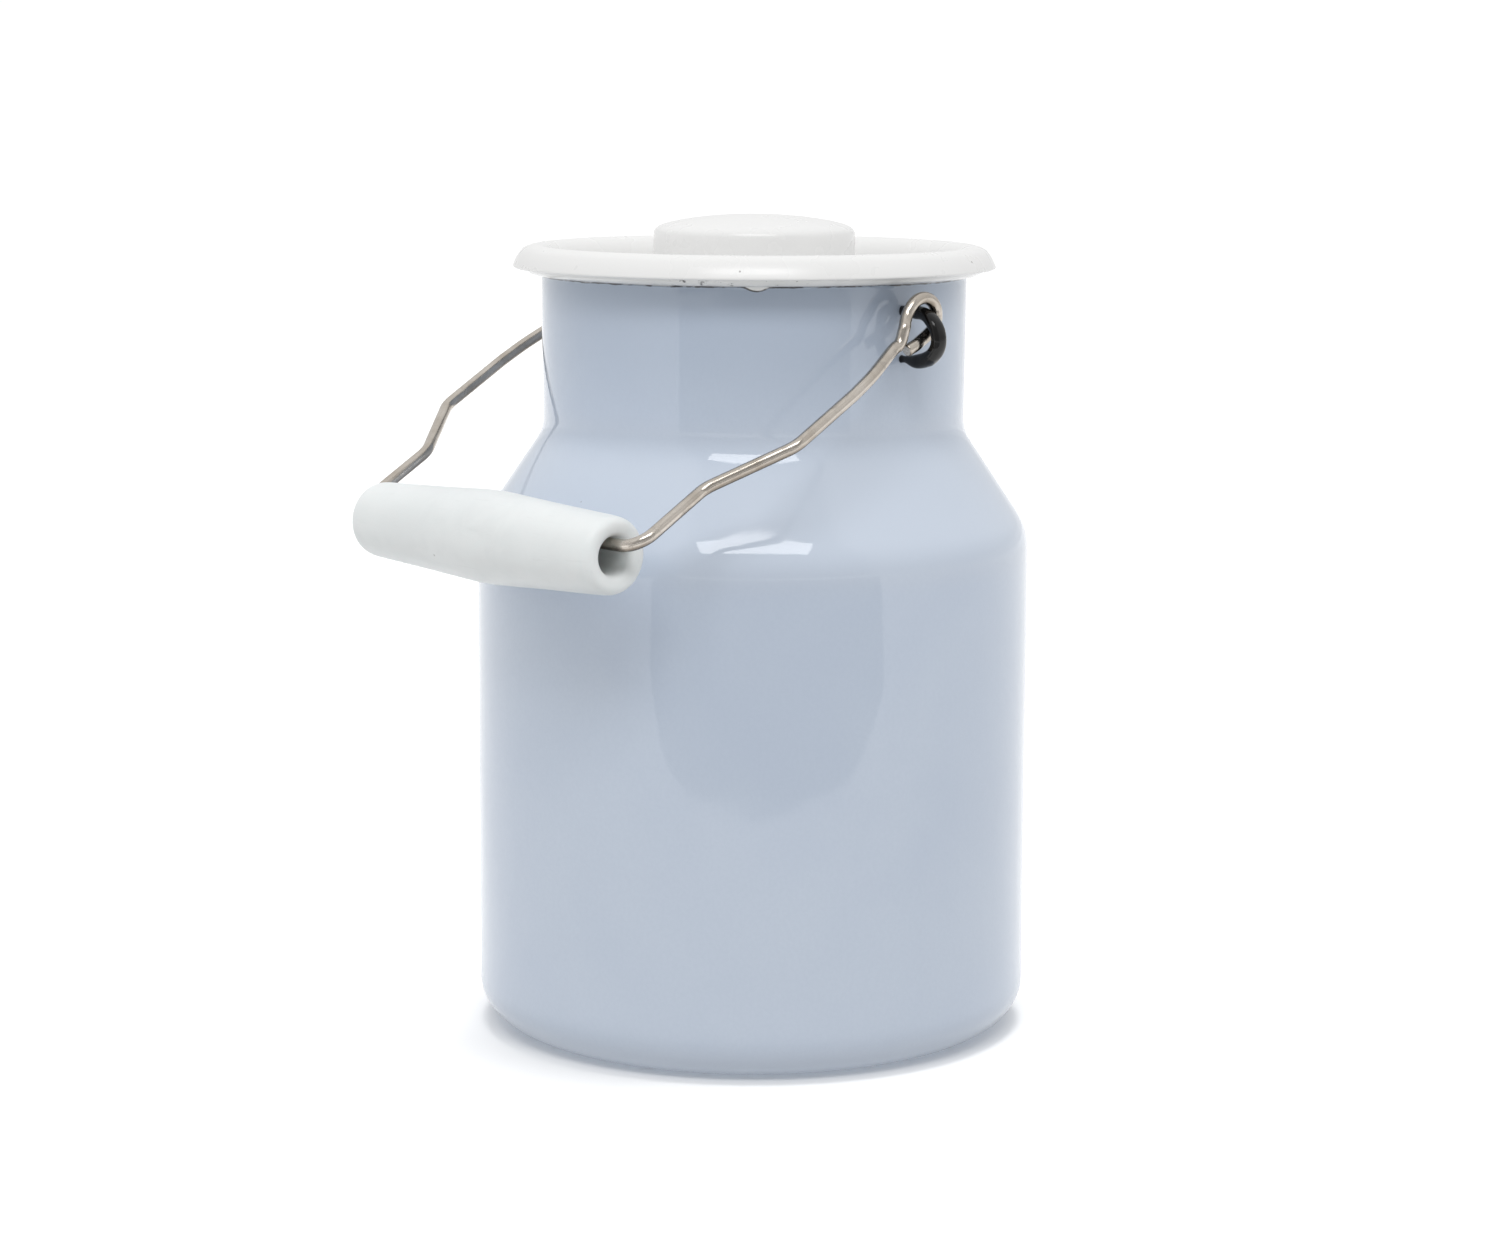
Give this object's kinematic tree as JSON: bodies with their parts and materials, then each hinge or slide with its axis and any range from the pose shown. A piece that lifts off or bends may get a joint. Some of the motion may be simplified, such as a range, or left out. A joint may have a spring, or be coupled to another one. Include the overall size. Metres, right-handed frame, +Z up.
{
  "type": "milk can",
  "caption": "Round enamelled steel milk can with a sloping shoulder, a plug-in lid with a flat knob, and a swinging wire bail with a sleeve grip.",
  "frame": {"origin": "centre of the flat base underside, on the axis of the can", "axes": "+Z up along the axis of the can, +X through the right-hand carrying ear, -Y towards the side the bail leans to at rest"},
  "size_m": [0.14, 0.1648, 0.2061],
  "materials": {
    "blue_enamel": "glossy pale blue vitreous enamel outside, white inside and on the rolled rim",
    "white_enamel": "glossy white vitreous enamel",
    "black_enamel": "glossy black vitreous enamel",
    "stainless_wire": "satin drawn stainless wire",
    "white_plastic": "satin moulded white plastic"
  },
  "bodies": {
    "can": {"can_body": "blue_enamel", "ear_right": "black_enamel", "ear_left": "black_enamel"},
    "lid": {"lid_shell": "white_enamel", "lid_knob": "white_enamel"},
    "bail": {"bail_wire": "stainless_wire"},
    "grip": {"grip_sleeve": "white_plastic"}
  },
  "joints": [
    {"name": "lid_lift", "type": "slide", "parent": "can", "child": "lid", "axis": [0, 0, 1], "range_m": [0, 0.08]},
    {"name": "bail_swing", "type": "hinge", "parent": "can", "child": "bail", "pos_m": [0, 0, 0.184], "axis": [-1, 0, 0], "range_deg": [0, 240]},
    {"name": "grip_spin", "type": "hinge", "parent": "bail", "child": "grip", "pos_m": [0, -0.08358, 0.13122], "axis": [1, 0, 0], "continuous": true}
  ]
}
